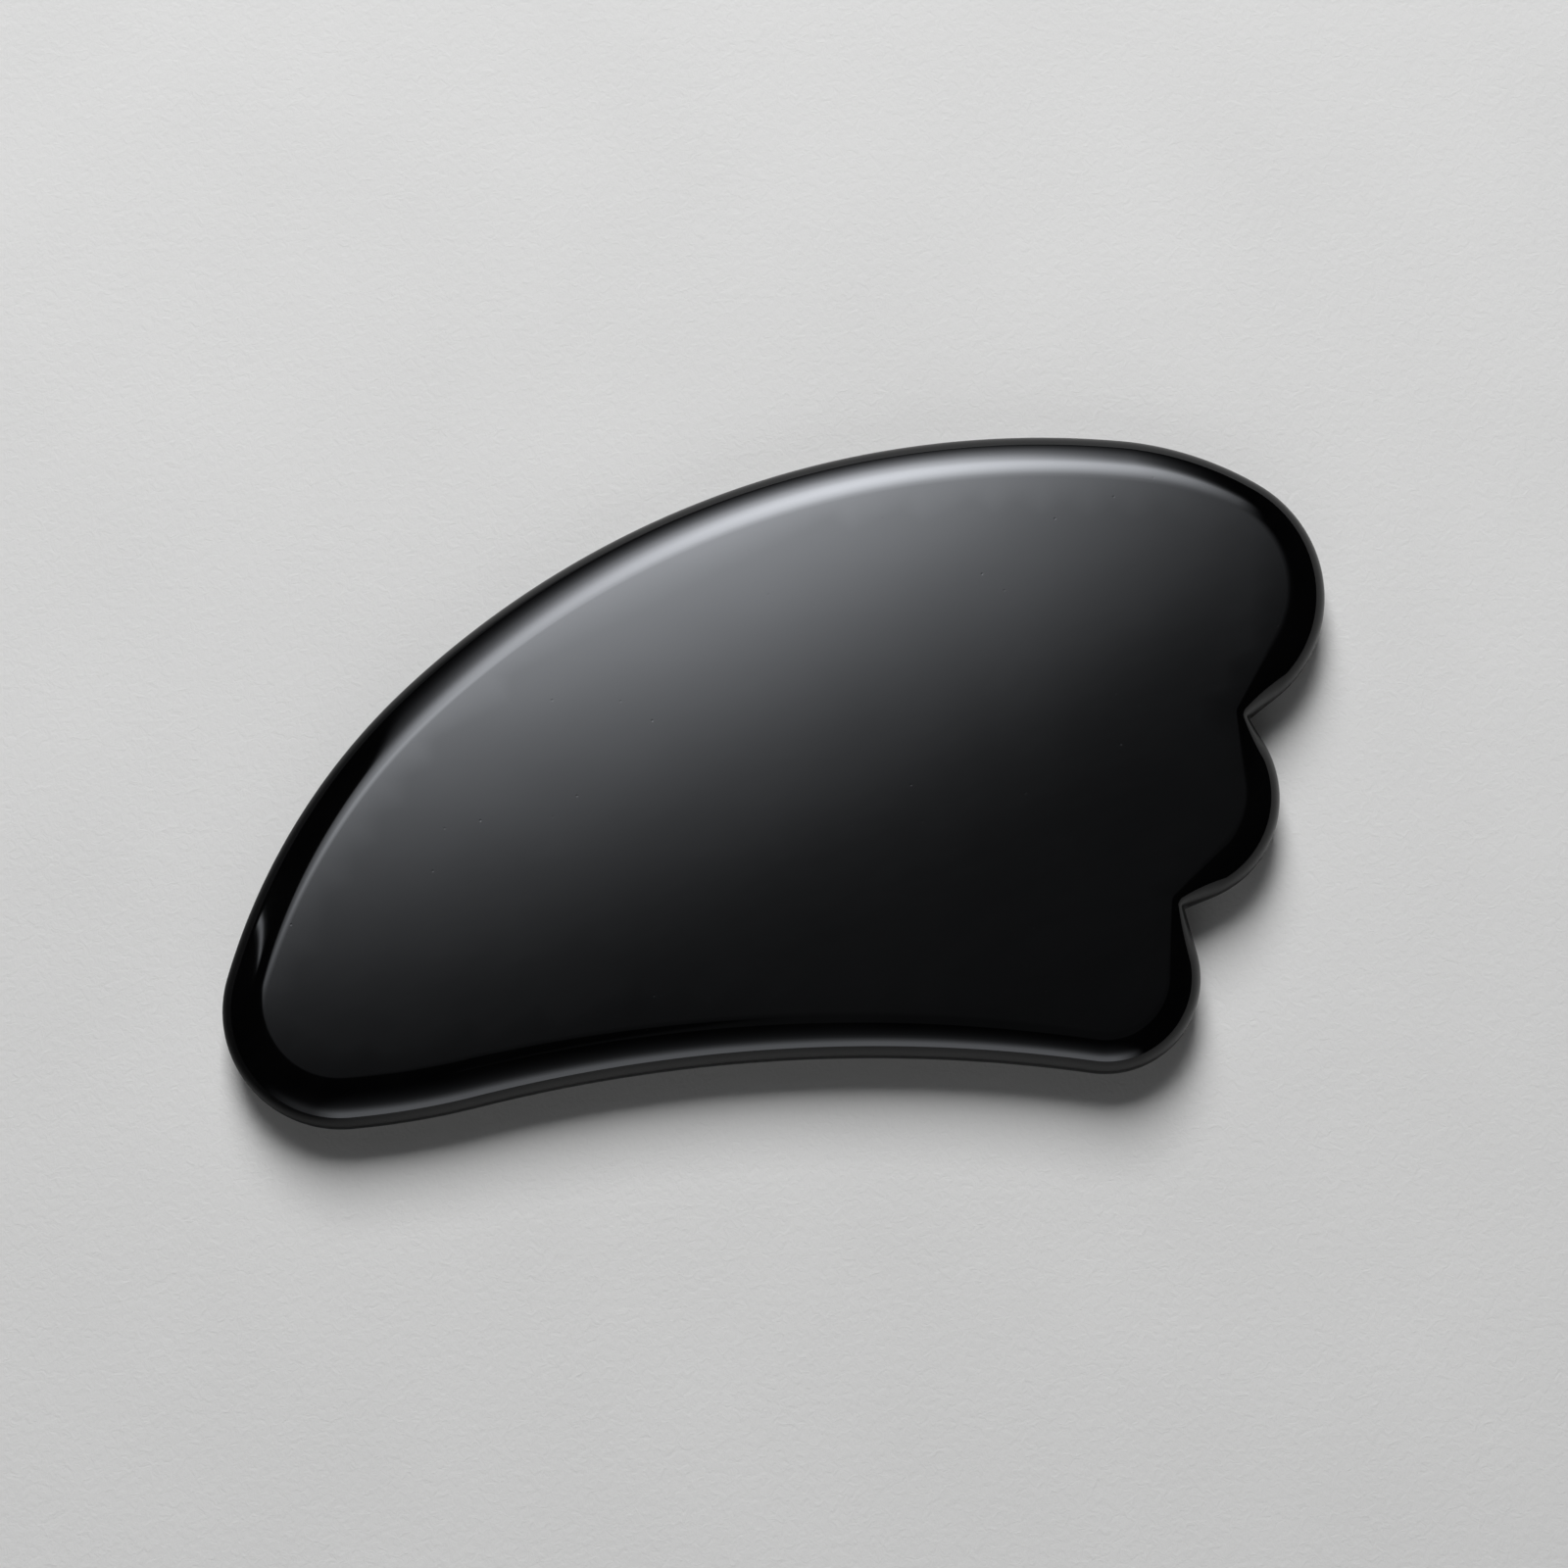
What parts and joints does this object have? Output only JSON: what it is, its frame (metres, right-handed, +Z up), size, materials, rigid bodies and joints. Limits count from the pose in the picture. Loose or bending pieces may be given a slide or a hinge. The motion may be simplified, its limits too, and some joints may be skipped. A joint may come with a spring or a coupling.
{
  "type": "gua sha scraper",
  "caption": "Flat hand-held massage scraper of polished black stone: rounded all round, with a broad crown, a blunt tip, a long hollow edge and a lobed end with narrow notches.",
  "frame": {"origin": "bottom centre of the bounding box, on the surface the stone lies on", "axes": "+X along the length, from the blunt tip to the lobed end; +Y towards the crown, away from the hollow edge; +Z up, square to the two flat faces"},
  "size_m": [0.11, 0.0654, 0.007],
  "materials": {
    "black_stone": "polished"
  },
  "bodies": {
    "root": {"scraper_stone": "black_stone"}
  },
  "joints": []
}
